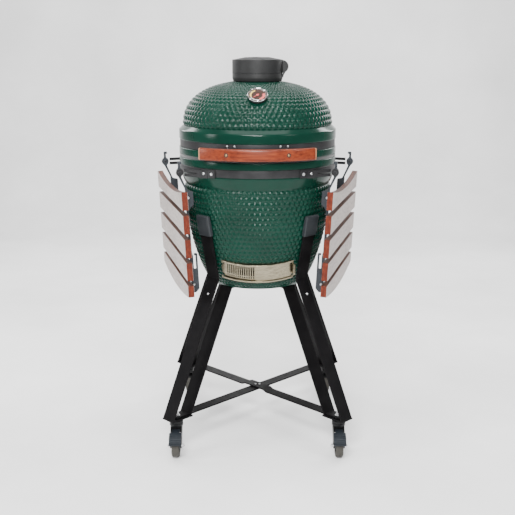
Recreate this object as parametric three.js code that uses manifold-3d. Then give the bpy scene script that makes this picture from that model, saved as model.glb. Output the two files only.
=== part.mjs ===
// Kamado ceramic grill on a wheeled stand, in millimetres.
// Frame: origin on the floor under the middle of the ceramic, +Z up, front of the grill along -Y.
import * as THREE from 'three';
import { mergeVertices } from 'three/addons/utils/BufferGeometryUtils.js';
import Module from 'manifold-3d';

const wasm = await Module();
wasm.setup();
const { Manifold, Mesh: SolidMesh } = wasm;

// ---------------------------------------------------------------- driving sizes
const COLLAR_R = 260; // outer radius of the ceramic rims
const MOUTH_R = 228; // inner radius of both rims
const BODY_R = 241; // widest radius of the egg-shaped base
const BODY_TOP = 862; // height of that widest ring
const BODY_SQUASH = 448; // vertical half-axis of the egg
const WALL = 27; // thickness of the base wall
const BASE_BOTTOM = 526;
const FLOOR_THICK = 26;
const RIM_BASE = [930.3, 953]; // heights of the base rim
const RIM_LID = [962, 984.7]; // heights of the lid rim
const DOME_FOOT = 1054; // height where the lid dome starts
const DOME_R = 245;
const DOME_RISE = 143;
const DOME_POWER = 2.35; // exponent of the dome's superellipse
const THROAT_R = 60; // chimney hole in the lid
const ROUND = 40; // facets of the large turned parts
const SMALL_ROUND = 20;
const MIDDLE_ROUND = 28;

const HINGE_Y = 305; // rear hinge pin
const HINGE_Z = 957;

const THERMO_R = 33;
const THERMO_Z = 1150;
const THERMO_TILT = 52; // degrees the dial looks above the horizontal

const DRAFT_TILT = 20; // degrees the draft frame looks below the horizontal
const DRAFT_R = 216; // outer radius of the curved frame
const DRAFT_AXIS = [0, 0, 661.9]; // a point on the axis the draft panels turn about
const DRAFT_HALF = 31.5; // half angle of the frame
const DRAFT_HEIGHT = 67;

const CASTER_RHO = 375; // distance of each caster stem from the centre
const PLATE_Z = [120, 125]; // foot plates of the legs
const LEG_WIDTH = 52;
const BAR_THICK = 5;
const WHEEL_R = 37.5;
const WHEEL_TRAIL = 30;

const SHELF_TOE = 14.2; // degrees each shelf hinge line turns away from front-to-back
const SHELF_MIDDLE = [285.5, -15]; // middle of the right hinge line, seen from above
const SHELF_Z = 913;
const SHELF_PIVOT = 155.2; // distance of each bracket tab from the middle of the hinge line
const SHELF_LEAN = 3; // degrees the hanging shelf leans inwards
const SLAT_SPAN = [-203, 330]; // slat ends along the hinge line
const SLAT_FACE = 7; // outer face of the slats beyond the hinge line
const SLAT_THICK = 20;
const SLAT_WIDTH = 60;
const SLAT_DROPS = [56, 133, 211, 287, 363]; // upper edge of each slat below the hinge line

const BAND_LID = { inner: 254.5, outer: 257.5, low: 985, high: 1010 };
const BAND_BASE = { inner: 257, outer: 260.3, low: 905.5, high: 930 };

const radians = THREE.MathUtils.degToRad;

// ---------------------------------------------------------------- solid helpers
function toSolid(geometry) {
  const bare = geometry.index ? geometry.toNonIndexed() : geometry.clone();
  bare.deleteAttribute('normal');
  bare.deleteAttribute('uv');
  const welded = mergeVertices(bare, 1e-4);
  const index = welded.index.array;
  const kept = [];
  for (let i = 0; i < index.length; i += 3) {
    const [a, b, c] = [index[i], index[i + 1], index[i + 2]];
    if (a !== b && b !== c && c !== a) kept.push(a, b, c);
  }
  const mesh = new SolidMesh({
    numProp: 3,
    vertProperties: new Float32Array(welded.attributes.position.array),
    triVerts: Uint32Array.from(kept),
  });
  return Manifold.ofMesh(mesh);
}

function toGeometry(solid) {
  const mesh = solid.getMesh();
  const geometry = new THREE.BufferGeometry();
  geometry.setAttribute('position', new THREE.BufferAttribute(new Float32Array(mesh.vertProperties), 3));
  geometry.setIndex(new THREE.BufferAttribute(new Uint32Array(mesh.triVerts), 1));
  return geometry;
}

function join(...parts) {
  return toGeometry(parts.map(toSolid).reduce((whole, part) => whole.add(part)));
}

function cut(body, ...tools) {
  return toGeometry(tools.map(toSolid).reduce((left, tool) => left.subtract(tool), toSolid(body)));
}

function mirrorX(geometry) {
  const copy = toGeometry(toSolid(geometry));
  copy.scale(-1, 1, 1);
  const index = copy.index.array;
  for (let i = 0; i < index.length; i += 3) {
    [index[i + 1], index[i + 2]] = [index[i + 2], index[i + 1]];
  }
  return copy;
}

// Turned solid about +Z; the profile of [radius, height] runs up the outside.
function turned(profile, facets = ROUND) {
  const points = profile.map(([r, z]) => new THREE.Vector2(r, z));
  return new THREE.LatheGeometry(points, facets).rotateX(Math.PI / 2);
}

function ringOf(inner, outer, low, high, facets = ROUND) {
  const profile = [[inner, low], [outer, low], [outer, high], [inner, high], [inner, low]];
  return turned(profile, facets);
}

function rod(radius, low, high, facets = SMALL_ROUND) {
  return turned([[0, low], [radius, low], [radius, high], [0, high]], facets);
}

function block(x, y, z) {
  const box = new THREE.BoxGeometry(x[1] - x[0], y[1] - y[0], z[1] - z[0]);
  return box.translate((x[0] + x[1]) / 2, (y[0] + y[1]) / 2, (z[0] + z[1]) / 2);
}

// Flat outline in the XY plane, raised from low to high.
function raised(outline, low, high) {
  const shape = new THREE.Shape(outline.map(([x, y]) => new THREE.Vector2(x, y)));
  const options = { depth: high - low, bevelEnabled: false };
  return new THREE.ExtrudeGeometry(shape, options).translate(0, 0, low);
}

// Outline given as [x, z], with a width centred on the XZ plane.
function upright(outline, width) {
  return raised(outline, -width / 2, width / 2).rotateX(Math.PI / 2);
}

// Outline of a bent strip of even thickness along a list of points.
function strip(path, thick) {
  const points = path.map(([x, y]) => new THREE.Vector2(x, y));
  const normals = points.slice(1).map((point, i) => {
    const along = point.clone().sub(points[i]).normalize();
    return new THREE.Vector2(-along.y, along.x);
  });
  const sides = points.map((point, i) => {
    const before = normals[Math.max(i - 1, 0)];
    const after = normals[Math.min(i, normals.length - 1)];
    const mitre = before.clone().add(after).divideScalar(1 + before.dot(after));
    return [1, -1].map((side) => point.clone().addScaledVector(mitre, (side * thick) / 2).toArray());
  });
  return [...sides.map(([left]) => left), ...sides.map(([, right]) => right).reverse()];
}

// Piece of a ring; angles in degrees from the front (-Y), positive towards +X.
function sector(radii, angles, heights, steps = 12) {
  const at = (radius, turn) => {
    const a = radians(turn);
    return [radius * Math.sin(a), -radius * Math.cos(a)];
  };
  const turns = Array.from({ length: steps + 1 }, (_, i) =>
    THREE.MathUtils.lerp(angles[0], angles[1], i / steps));
  const outer = turns.map((turn) => at(radii[1], turn));
  const inner = turns.map((turn) => at(radii[0], turn)).reverse();
  return raised([...outer, ...inner], heights[0], heights[1]);
}

// ---------------------------------------------------------------- assembly
const group = new THREE.Group();
group.name = 'kamado_grill';
const paint = new THREE.MeshStandardMaterial({ color: 0x8a8f8c });

function add(name, geometry) {
  const mesh = new THREE.Mesh(toGeometry(toSolid(geometry)), paint);
  mesh.geometry.computeVertexNormals();
  mesh.name = name;
  group.add(mesh);
}

// ---------------------------------------------------------------- ceramic shells
const bodyRadius = (z) => BODY_R * Math.sqrt(1 - ((BODY_TOP - z) / BODY_SQUASH) ** 2);
const domeHeight = (r, radius, rise) =>
  DOME_FOOT + rise * (1 - (r / radius) ** DOME_POWER) ** (1 / DOME_POWER);
const EGG_LEVELS = [560, 600, 650, 700, 760, 815, BODY_TOP];

const bodyOutside = (grow) => [
  [0, BASE_BOTTOM - grow],
  [148 + grow, BASE_BOTTOM - grow],
  [158 + grow, BASE_BOTTOM + 2.5],
  ...[536, ...EGG_LEVELS].map((z) => [bodyRadius(z) + grow, z]),
];

function baseShell() {
  const inside = [...EGG_LEVELS].reverse().map((z) => [bodyRadius(z) - WALL, z]);
  const shell = turned([
    ...bodyOutside(0),
    [246, 870],
    [256, 900],
    [256.5, RIM_BASE[0]],
    [COLLAR_R, RIM_BASE[0]],
    [COLLAR_R, RIM_BASE[1]],
    [MOUTH_R, RIM_BASE[1]],
    [MOUTH_R, 905],
    ...inside,
    [134, BASE_BOTTOM + FLOOR_THICK],
    [0, BASE_BOTTOM + FLOOR_THICK],
  ]);
  const draftMouth = block([-88, 88], [-230, -90], [566, 606]);
  return cut(shell, draftMouth);
}

function thermometerPlace(geometry) {
  const radius = DOME_R * (1 - ((THERMO_Z - DOME_FOOT) / DOME_RISE) ** DOME_POWER) ** (1 / DOME_POWER);
  return geometry.rotateX(radians(90 - THERMO_TILT)).translate(0, -radius, THERMO_Z);
}

function lidShell() {
  const outside = [240, 230, 212, 188, 158, 122, 88, THROAT_R];
  const inside = [THROAT_R, 100, 140, 172, 196, 210, 217];
  const shell = turned([
    [MOUTH_R, RIM_LID[0]],
    [COLLAR_R, RIM_LID[0]],
    [COLLAR_R, RIM_LID[1]],
    [254, RIM_LID[1]],
    [254, 1010.3],
    [COLLAR_R, 1010.3],
    [COLLAR_R, 1040],
    [246, DOME_FOOT],
    ...outside.map((r) => [r, domeHeight(r, DOME_R, DOME_RISE)]),
    ...inside.map((r) => [r, domeHeight(r, 219, 117)]),
    [219, DOME_FOOT],
    [MOUTH_R, 1000],
    [MOUTH_R, RIM_LID[0]],
  ]);
  return cut(shell, thermometerPlace(rod(7, -60, 20, 12)));
}

add('base_shell', baseShell());
add('lid_shell', lidShell());
add('lid_gasket', ringOf(MOUTH_R + 2, COLLAR_R - 1, RIM_BASE[1] + 0.6, RIM_LID[0] - 0.4));
add('lid_band', ringOf(BAND_LID.inner, BAND_LID.outer, BAND_LID.low, BAND_LID.high));
add('base_band', ringOf(BAND_BASE.inner, BAND_BASE.outer, BAND_BASE.low, BAND_BASE.high));

// ---------------------------------------------------------------- inside the base
const FIRE_BOX_FLOOR = 556;
const FIRE_BOX_TOP = 786;

function fireBox() {
  const pot = turned([
    [28, FIRE_BOX_FLOOR],
    [112, FIRE_BOX_FLOOR],
    [148, 640],
    [182, 740],
    [188, FIRE_BOX_TOP],
    [168, FIRE_BOX_TOP],
    [163, 740],
    [130, 640],
    [112, 610],
    [96, 610],
    [96, 578],
    [28, 578],
    [28, FIRE_BOX_FLOOR],
  ], MIDDLE_ROUND);
  return cut(pot, block([-55, 55], [-190, -40], [579, 604]));
}

function charcoalGrate() {
  const disc = rod(106, 610.4, 618, MIDDLE_ROUND);
  const slots = [-3, -2, -1, 0, 1, 2, 3].map((i) => {
    const half = Math.sqrt(92 ** 2 - (i * 26 + 6) ** 2);
    return block([i * 26 - 5, i * 26 + 5], [-half + 4, half - 4], [605, 625]);
  });
  return cut(disc, ...slots);
}

function cookingGrate() {
  const rim = ringOf(200, 208, 841, 849, MIDDLE_ROUND);
  const bars = [-6, -5, -4, -3, -2, -1, 0, 1, 2, 3, 4, 5, 6].map((i) => {
    const half = Math.sqrt(203 ** 2 - (i * 28) ** 2);
    return block([i * 28 - 3, i * 28 + 3], [-half, half], [842, 848]);
  });
  return join(rim, ...bars);
}

add('fire_box', fireBox());
add('fire_ring', ringOf(168, 190, FIRE_BOX_TOP + 0.6, 840, 36));
add('charcoal_grate', charcoalGrate());
add('cooking_grate', cookingGrate());

// ---------------------------------------------------------------- rear hinge
const alongX = (geometry) => geometry.rotateY(Math.PI / 2);
const PIN_R = 5;
const PIN_HOLE_R = 5.4;

function hingePlace(geometry) {
  return alongX(geometry).translate(0, HINGE_Y, HINGE_Z);
}

function cheek(outline, x, thick) {
  return upright(outline, thick).rotateZ(Math.PI / 2).translate(x, 0, 0);
}

function baseHingeArm() {
  const side = [[262, 907], [284, 907], [318, 944], [318, 968], [294, 968], [262, 929]];
  const plate = block([-78, 78], [240, 267], [906, 929.5]);
  const arms = [-72, 72].map((x) => cheek(side, x, 6));
  const drum = rod(BAND_BASE.outer + 0.6, 890, 940, ROUND);
  const pinHole = hingePlace(rod(PIN_HOLE_R, -90, 90, 12));
  return cut(join(plate, ...arms), drum, pinHole);
}

function lidHingeArm() {
  const side = [[263, 988], [296, 944], [316, 944], [316, 968], [285, 1009], [263, 1009]];
  const plate = block([-64, 64], [240, 267], [986, 1009.5]);
  const arms = [-60, 60].map((x) => cheek(side, x, 6));
  const drum = rod(BAND_LID.outer + 0.6, 980, 1020, ROUND);
  const pinHole = hingePlace(rod(PIN_HOLE_R, -90, 90, 12));
  return cut(join(plate, ...arms), drum, pinHole);
}

function hingeSpring(side) {
  return hingePlace(ringOf(6.5, 12, 10, 51, 12).translate(0, 0, side < 0 ? -61 : 0));
}

add('base_hinge_arm', baseHingeArm());
add('lid_hinge_arm', lidHingeArm());
add('hinge_pin', hingePlace(rod(PIN_R, -82, 82, 12)));
add('hinge_spring_left', hingeSpring(-1));
add('hinge_spring_right', hingeSpring(1));

// ---------------------------------------------------------------- lid handle
const HANDLE_ANGLE = 35.2;
const STANDOFF_ANGLE = 18.3;

function standoff(side) {
  const foot = block([-17, 17], [-262, -240], [986, 1009]);
  const neck = block([-8, 8], [-294, -259], [986, 999]);
  const drum = rod(BAND_LID.outer + 0.5, 980, 1020, ROUND);
  const placed = join(foot, neck).rotateZ(radians(side * STANDOFF_ANGLE));
  return cut(placed, drum);
}

add('lid_handle', sector([295, 315], [-HANDLE_ANGLE, HANDLE_ANGLE], [964, 1001], 16));
add('handle_standoff_left', standoff(-1));
add('handle_standoff_right', standoff(1));

// ---------------------------------------------------------------- chimney vent
const VENT_R = 83;
const CAP_PIVOT = [88, 1238];
const LUG_R = 20.5;
const LUG_MIDDLE = [81, 1240.5];
const LUG_HALF = 13;

const crossPin = (radius, half) =>
  rod(radius, -half, half, 12).rotateX(Math.PI / 2).translate(CAP_PIVOT[0], 0, CAP_PIVOT[1]);

function ventBase() {
  const ring = turned([
    [58, 1196.2],
    [80, 1193.8],
    [82.6, 1204],
    [82.6, 1218],
    [76, 1218],
    [76, 1213],
    [58, 1213],
    [58, 1196.2],
  ], MIDDLE_ROUND);
  const ear = [
    [76, 1205], [84, 1206], [86, 1214], [92, 1224], [96, 1231], [93.5, 1238], [88, 1243.5],
    [82.5, 1238], [84.5, 1231], [84.5, 1217], [76, 1217],
  ];
  const ears = [-17, 17].map((y) => upright(ear, 5).translate(0, y, 0));
  return join(ring, ...ears, crossPin(3, 19));
}

function ventDisc() {
  const disc = rod(75.4, 1213.5, 1217, MIDDLE_ROUND);
  const windows = [0, 1, 2, 3, 4].map((i) =>
    sector([24, 54], [i * 72 - 18, i * 72 + 18], [1205, 1225], 4));
  return cut(disc, ...windows);
}

function ventCap() {
  const cup = turned([
    [77, 1219.4],
    [VENT_R, 1219.4],
    [VENT_R, 1262],
    [56, 1267],
    [40, 1270],
    [0, 1271],
    [0, 1264],
    [50, 1260],
    [77, 1255],
    [77, 1219.4],
  ], MIDDLE_ROUND);
  const disc = rod(LUG_R, -LUG_HALF, LUG_HALF, SMALL_ROUND)
    .rotateX(Math.PI / 2)
    .translate(LUG_MIDDLE[0], 0, LUG_MIDDLE[1]);
  const insideCup = rod(79.5, 1210, 1263, MIDDLE_ROUND);
  return cut(join(cup, cut(disc, insideCup)), crossPin(3.5, 30));
}

add('vent_base', ventBase());
add('vent_disc', ventDisc());
add('vent_cap', ventCap());

// ---------------------------------------------------------------- thermometer
function thermometer() {
  const dial = turned([
    [0, -58],
    [4, -54],
    [4, 1.5],
    [28, 1.5],
    [THERMO_R, 4],
    [THERMO_R, 12],
    [31, 14],
    [31, 12],
    [0, 12],
  ], SMALL_ROUND);
  return thermometerPlace(dial);
}

add('thermometer', thermometer());

// ---------------------------------------------------------------- draft door
function draftPlace(geometry) {
  return geometry.rotateX(radians(DRAFT_TILT)).translate(...DRAFT_AXIS);
}

const GROOVE = [DRAFT_R - 8.7, DRAFT_R - 2.8];
const DOOR = [DRAFT_R - 5.3, DRAFT_R - 3.7];
const SCREEN = [DRAFT_R - 8, DRAFT_R - 6.4];

function draftFrame() {
  const half = DRAFT_HEIGHT / 2;
  const body = sector([180, DRAFT_R], [-DRAFT_HALF, DRAFT_HALF], [-half, half], 14);
  const window = sector([170, GROOVE[0] + 1], [-28, 28], [-half + 8, half - 8], 14);
  const front = sector([GROOVE[0], DRAFT_R + 8], [-40, 40], [-half + 6, half - 6], 14);
  const groove = sector(GROOVE, [-40, 40], [-half + 2.8, half - 2.8], 14);
  const curved = cut(body, window, front, groove);
  return cut(draftPlace(curved), turned([...bodyOutside(0.6), [0, BODY_TOP]]));
}

const PANEL_HALF = 30.2;

function draftDoor() {
  const panel = sector(DOOR, [-1.5, 31], [-PANEL_HALF, PANEL_HALF], 10);
  const tab = sector(DOOR, [30.5, 33.3], [-20, 20], 2);
  const fold = sector([DOOR[0] + 0.3, DRAFT_R + 8], [32.6, 33.2], [-20, 20], 1);
  return draftPlace(join(panel, tab, fold));
}

function draftScreen() {
  const panel = sector(SCREEN, [-31, 1.5], [-PANEL_HALF, PANEL_HALF], 10);
  const tab = sector(SCREEN, [-34, -30.5], [-12, 12], 2);
  const slots = Array.from({ length: 13 }, (_, i) => {
    const turn = -3.4 - i * 2;
    return sector([SCREEN[0] - 4, SCREEN[1] + 4], [turn - 0.55, turn + 0.55], [-13, 24], 1);
  });
  return draftPlace(cut(join(panel, tab), ...slots));
}

add('draft_frame', draftFrame());
add('draft_door', draftDoor());
add('draft_screen', draftScreen());

// ---------------------------------------------------------------- stand
const SIDES = [['right', 1], ['left', -1]];
const ENDS = [['front', -1], ['rear', 1]];
const LEG_OUTER = [[408, 122.5], [204, 562], [246, 775]];
const LEG_INNER = [[336, 122.5], [146, 523], [108, 523]];
const BRACE_WIDTH = 39;
const BRACE_REACH = 391;
const BRACE_Z = PLATE_Z[1] + 3;
const STEM_R = 6;
const STEM_HOLE_R = 6.5;

function leg() {
  const outer = upright(strip(LEG_OUTER, BAR_THICK), LEG_WIDTH);
  const inner = upright(strip(LEG_INNER, BAR_THICK), LEG_WIDTH);
  const foot = block([326, 412], [-LEG_WIDTH / 2, LEG_WIDTH / 2], PLATE_Z);
  const slot = block([320, 344], [-BRACE_WIDTH / 2 - 1, BRACE_WIDTH / 2 + 1], [PLATE_Z[1], 134]);
  const hole = rod(STEM_HOLE_R, 110, 140, 12).translate(CASTER_RHO, 0, 0);
  return cut(join(outer, inner, foot), slot, hole);
}

function brace(crossZ) {
  const half = [[44, crossZ], [60, BRACE_Z], [BRACE_REACH, BRACE_Z]];
  const path = [...half.map(([x, z]) => [-x, z]).reverse(), ...half];
  const holes = [-1, 1].map((end) => rod(STEM_HOLE_R, 110, 140, 12).translate(end * CASTER_RHO, 0, 0));
  return cut(upright(strip(path, BAR_THICK), BRACE_WIDTH), ...holes);
}

for (const [end, y] of ENDS) {
  for (const [side, x] of SIDES) {
    add(`leg_${end}_${side}`, leg().rotateZ(Math.atan2(y, x)));
  }
}
add('brace_lower', brace(BRACE_Z).rotateZ(Math.PI / 4));
add('brace_upper', brace(BRACE_Z + 6).rotateZ(-Math.PI / 4));

// ---------------------------------------------------------------- casters
const CHEEK_X = 17;
const CHEEK_THICK = 3;
const AXLE_R = 4;

// Everything of one caster is drawn at its stem with the wheel towards -Y.
function fork() {
  const outline = [[-40, 30], [-22, 28], [22, 84], [22, 98], [-14, 98], [-38, 74], [-42, 46]];
  const cheeks = [-1, 1].map((side) => cheek(outline, side * CHEEK_X, CHEEK_THICK));
  const bridge = block([-CHEEK_X, CHEEK_X], [-10, 22], [88, 98]);
  const housing = turned([
    [0, 96],
    [20, 96],
    [22, 100],
    [22, 114],
    [STEM_R, 118.5],
    [STEM_R, 146],
    [0, 146],
  ], SMALL_ROUND);
  const axle = alongX(rod(AXLE_R, -CHEEK_X, CHEEK_X, 12)).translate(0, -WHEEL_TRAIL, WHEEL_R);
  return join(...cheeks, bridge, housing, axle);
}

function wheel() {
  const facets = 20;
  const tip = WHEEL_R / Math.cos(Math.PI / facets);
  const tread = turned([
    [AXLE_R + 0.4, -11],
    [tip * 0.72, -11],
    [tip * 0.94, -13],
    [tip, -10.5],
    [tip, 10.5],
    [tip * 0.94, 13],
    [tip * 0.72, 11],
    [AXLE_R + 0.4, 11],
    [AXLE_R + 0.4, -11],
  ], facets);
  return alongX(tread.rotateZ(Math.PI / facets)).translate(0, -WHEEL_TRAIL, WHEEL_R);
}

const PEDAL_PATH = [[-16, 86], [-42, 86], [-66, 72], [-80, 62]];

function pedal() {
  return upright(strip(PEDAL_PATH, 5), 26).rotateZ(Math.PI / 2);
}

for (const [end, y] of ENDS) {
  for (const [side, x] of SIDES) {
    const reach = CASTER_RHO * Math.SQRT1_2;
    const place = (geometry) => geometry.rotateZ(y > 0 ? Math.PI : 0).translate(x * reach, y * reach, 0);
    add(`fork_${end}_${side}`, place(fork()));
    add(`wheel_${end}_${side}`, place(wheel()));
    add(`brake_${end}_${side}`, place(pedal()));
  }
}

// ---------------------------------------------------------------- folding side shelves
// Drawn for the right side: X away from the grill, Y along the hinge line, Z up from the hinge line.
const TURN = radians(SHELF_TOE);
const shelfPlan = (u, v) => [
  SHELF_MIDDLE[0] + u * Math.cos(TURN) + v * Math.sin(TURN),
  SHELF_MIDDLE[1] - u * Math.sin(TURN) + v * Math.cos(TURN),
];

function shelfPlace(geometry) {
  return geometry
    .rotateY(radians(SHELF_LEAN))
    .rotateZ(-TURN)
    .translate(SHELF_MIDDLE[0], SHELF_MIDDLE[1], SHELF_Z);
}

const SLAT_CURVE = 22;

function slatOutline(row) {
  const [near, far] = SLAT_SPAN;
  const top = -SLAT_DROPS[row];
  const low = top - SLAT_WIDTH;
  const steps = 12;
  const bow = (i) => 1 - ((2 * i) / steps - 1) ** 2;
  const along = (i) => THREE.MathUtils.lerp(near, far, i / steps);
  const lower = [];
  const upper = [];
  for (let i = 0; i <= steps; i += 1) {
    const bulge = SLAT_CURVE * (bow(i) - 1);
    lower.push([along(i), row === SLAT_DROPS.length - 1 ? low - bulge : low]);
    upper.push([along(steps - i), row === 0 ? top - SLAT_CURVE * bow(i) : top]);
  }
  const straight = (points) => [points[0], points[steps]];
  return [
    ...(row === SLAT_DROPS.length - 1 ? lower : straight(lower)),
    ...(row === 0 ? upper : straight(upper)),
  ];
}

function slat(row) {
  const yzx = new THREE.Matrix4().makeBasis(
    new THREE.Vector3(0, 1, 0),
    new THREE.Vector3(0, 0, 1),
    new THREE.Vector3(1, 0, 0),
  );
  const board = raised(slatOutline(row), SLAT_FACE - SLAT_THICK, SLAT_FACE).applyMatrix4(yzx);
  return shelfPlace(board);
}

const ARM_THICK = 5;
const ARM_OUTER = SLAT_FACE - SLAT_THICK - 0.4;

function shelfArm(end) {
  const outline = [
    [4, 34], [-8, 34], [-8, 26], [-3, 26], [-3, 14], [-10, 8], [-10, -8], [-4, -14], [-22, -60],
    [-39, -64], [-39, -108], [-28, -116], [-22, -128], [-22, -262], [-25, -276], [-25, -320], [-33, -320],
    [-33, -275], [-28, -275], [-28, -268], [-39, -268], [-39, -388], [-28, -400],
    [ARM_OUTER, -400], [ARM_OUTER, -54], [4, -14], [10, -8], [10, 8], [4, 14],
  ];
  const hole = rod(4.4, -20, 20, 12).rotateX(Math.PI / 2);
  const plate = cut(upright(outline.reverse(), ARM_THICK), hole);
  return shelfPlace(plate.translate(0, end * (SHELF_PIVOT - 5.2), 0));
}

const STRAP_R = 264;

function bandBracket(bandAngle, end) {
  const start = [STRAP_R * Math.sin(radians(bandAngle)), -STRAP_R * Math.cos(radians(bandAngle))];
  const path = [start, shelfPlan(-16, end * SHELF_PIVOT), shelfPlan(12, end * SHELF_PIVOT)];
  const strap = raised(strip(path, 4), SHELF_Z - 12, SHELF_Z + 12);
  const shoe = sector([261, 265], [bandAngle - 6, bandAngle + 6], [SHELF_Z - 10, SHELF_Z + 14], 4);
  const pin = rod(4, -12, 2, 12)
    .rotateX(end > 0 ? -Math.PI / 2 : Math.PI / 2)
    .rotateZ(-TURN)
    .translate(...shelfPlan(0, end * SHELF_PIVOT), SHELF_Z);
  return cut(join(strap, shoe, pin), rod(BAND_BASE.outer + 0.6, 880, 940, ROUND));
}

const BRACKETS = [['front', 36.3, -1], ['rear', 140, 1]]; // angle on the band, end of the hinge line

for (const [side, x] of SIDES) {
  const handed = (geometry) => (x > 0 ? geometry : mirrorX(geometry));
  SLAT_DROPS.forEach((_, row) => add(`slat_${side}_${row + 1}`, handed(slat(row))));
  for (const [end, angle, y] of BRACKETS) {
    add(`shelf_arm_${end}_${side}`, handed(shelfArm(y)));
    add(`bracket_${end}_${side}`, handed(bandBracket(angle, y)));
  }
}

export default group;
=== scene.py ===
"""Kamado ceramic grill on its wheeled stand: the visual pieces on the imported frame."""

import math

import bmesh
import bpy
import numpy as np
from mathutils import Matrix, Vector


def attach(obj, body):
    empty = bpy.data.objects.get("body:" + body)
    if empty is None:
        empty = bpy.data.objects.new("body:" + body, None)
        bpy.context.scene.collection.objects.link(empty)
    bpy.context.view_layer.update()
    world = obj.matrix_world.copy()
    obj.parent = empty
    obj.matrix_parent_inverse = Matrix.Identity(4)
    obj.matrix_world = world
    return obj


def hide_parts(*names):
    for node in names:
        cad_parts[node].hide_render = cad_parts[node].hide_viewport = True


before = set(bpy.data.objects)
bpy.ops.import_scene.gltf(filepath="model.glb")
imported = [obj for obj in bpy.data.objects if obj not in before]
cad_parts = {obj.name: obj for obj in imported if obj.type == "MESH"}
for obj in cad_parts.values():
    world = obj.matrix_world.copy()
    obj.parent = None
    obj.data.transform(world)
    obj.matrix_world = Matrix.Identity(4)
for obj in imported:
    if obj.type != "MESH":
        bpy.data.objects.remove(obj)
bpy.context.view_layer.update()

MM = 0.001  # every size below is in millimetres; meshes are scaled to metres when they are made

# ---------------- sizes shared with the CAD
COLLAR_R = 260.0
MOUTH_R = 228.0
BODY_R = 239.4  # body surface between the bumps
BODY_TOP = 862.0
BODY_SQUASH = 448.0
WALL = 27.0
BASE_BOTTOM = 526.0
DOME_FOOT = 1054.0
DOME_R = 243.4
DOME_RISE = 141.5
DOME_POWER = 2.35
THROAT_R = 60.0
BOWL_RIM = 953.0
LID_RIM = 962.0
BOWL_BAND = (905.5, 930.0)
LID_BAND = (985.4, 1010.0)
HINGE_Y, HINGE_Z = 305.0, 957.0
THERMO_Z, THERMO_TILT = 1150.0, 52.0
DRAFT_R, DRAFT_TILT, DRAFT_HALF = 216.0, 20.0, 31.5
DRAFT_AXIS = (0.0, 0.0, 661.9)
CASTER_RHO = 375.0
PLATE_TOP = 125.0
LEG_WIDTH = 52.0
WHEEL_R = 37.5
TRAIL = 30.0
SHELF_TOE, SHELF_LEAN = 14.2, 3.0
SHELF_MIDDLE = (285.5, -15.0, 913.0)
SHELF_PIVOT = 155.2
SLAT_SPAN = (-203.0, 330.0)
SLAT_DROPS = (56.0, 133.0, 211.0, 287.0, 363.0)
SLAT_WIDTH, SLAT_FACE, SLAT_THICK = 60.0, 7.0, 20.0
SIDES = (("right", 1), ("left", -1))
ENDS = (("front", -1), ("rear", 1))

# ---------------- sizes of the visual pieces alone
BUMP_COUNT = 84  # bumps around the body, in every row
BUMP_HEIGHT = 4.3
BUMP_REACH = 0.53  # radius of a bump, as a share of its pitch around the row
BUMP_ROW = 0.93  # distance between rows, as a share of the same pitch
BUMP_STEPS = 6  # mesh steps to a bump
FULL_PITCH = 17.0  # rows with a pitch from here up have bumps of full height
LEAST_BUMP = 0.5  # share of the height that the smallest bumps keep
FORK_HALF = 17.0
FENDER_R = 40.4
STRAP_R = 264.0
STRAP_BARS = ((901.2, 910.5), (915.5, 924.8))
STRAP_ANGLES = (("front", 36.3, -1), ("rear", 140.0, 1))

# The camera's place is in metres, and its tilt in degrees up from straight down.
CAMERA_PLACE = (0.0, -3.013, 1.295)
CAMERA_TILT = 76.97
CAMERA_LENS = 62.9

X, Y, Z = Vector((1, 0, 0)), Vector((0, 1, 0)), Vector((0, 0, 1))


# ---------------- material helpers
class Nodes:
    """A material under construction: its Principled shader and the object's own coordinates."""

    def __init__(self, name, **sockets):
        self.material = bpy.data.materials.new(name)
        self.material.use_nodes = True
        self.tree = self.material.node_tree
        self.shader = self.tree.nodes["Principled BSDF"]
        for socket, value in sockets.items():
            self.shader.inputs[socket.replace("_", " ")].default_value = value
        self.place = self.tree.nodes.new("ShaderNodeTexCoord").outputs["Object"]

    def node(self, kind, **values):
        """A new node whose inputs take the given values: a socket is linked, anything else is set."""
        node = self.tree.nodes.new(kind)
        for name, value in values.items():
            socket = node.inputs[name.replace("_", " ")]
            if isinstance(value, bpy.types.NodeSocket):
                self.tree.links.new(value, socket)
            else:
                socket.default_value = value
        return node

    def stretched(self, scale, turn=(0, 0, 0)):
        return self.node("ShaderNodeMapping", Vector=self.place, Scale=scale, Rotation=turn).outputs[0]

    def noise(self, scale, detail=4.0, rough=0.55, vector=None, distortion=0.0):
        return self.node("ShaderNodeTexNoise", Vector=vector or self.place, Scale=scale, Detail=detail,
                         Roughness=rough, Distortion=distortion).outputs["Fac"]

    def ramp(self, value, stops):
        node = self.node("ShaderNodeValToRGB", Fac=value)
        elements = node.color_ramp.elements
        while len(elements) < len(stops):
            elements.new(0.5)
        for element, (place, colour) in zip(elements, stops):
            element.position = place
            element.color = (*colour, 1.0)
        return node.outputs["Color"]

    def mix(self, factor, a, b, mode="MIX"):
        node = self.tree.nodes.new("ShaderNodeMix")
        node.data_type = "RGBA"
        node.blend_type = mode
        node.inputs["Factor"].default_value = factor
        self.tree.links.new(a, node.inputs[6])
        self.tree.links.new(b, node.inputs[7])
        return node.outputs[2]

    def drive(self, socket, output):
        self.tree.links.new(output, self.shader.inputs[socket])

    def colour(self, output):
        self.drive("Base Color", output)

    def rough(self, value, low, high):
        node = self.node("ShaderNodeMapRange", Value=value, To_Min=low, To_Max=high)
        self.drive("Roughness", node.outputs["Result"])

    def bump(self, output, strength, distance):
        node = self.node("ShaderNodeBump", Height=output, Strength=strength, Distance=distance)
        self.drive("Normal", node.outputs["Normal"])


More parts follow.
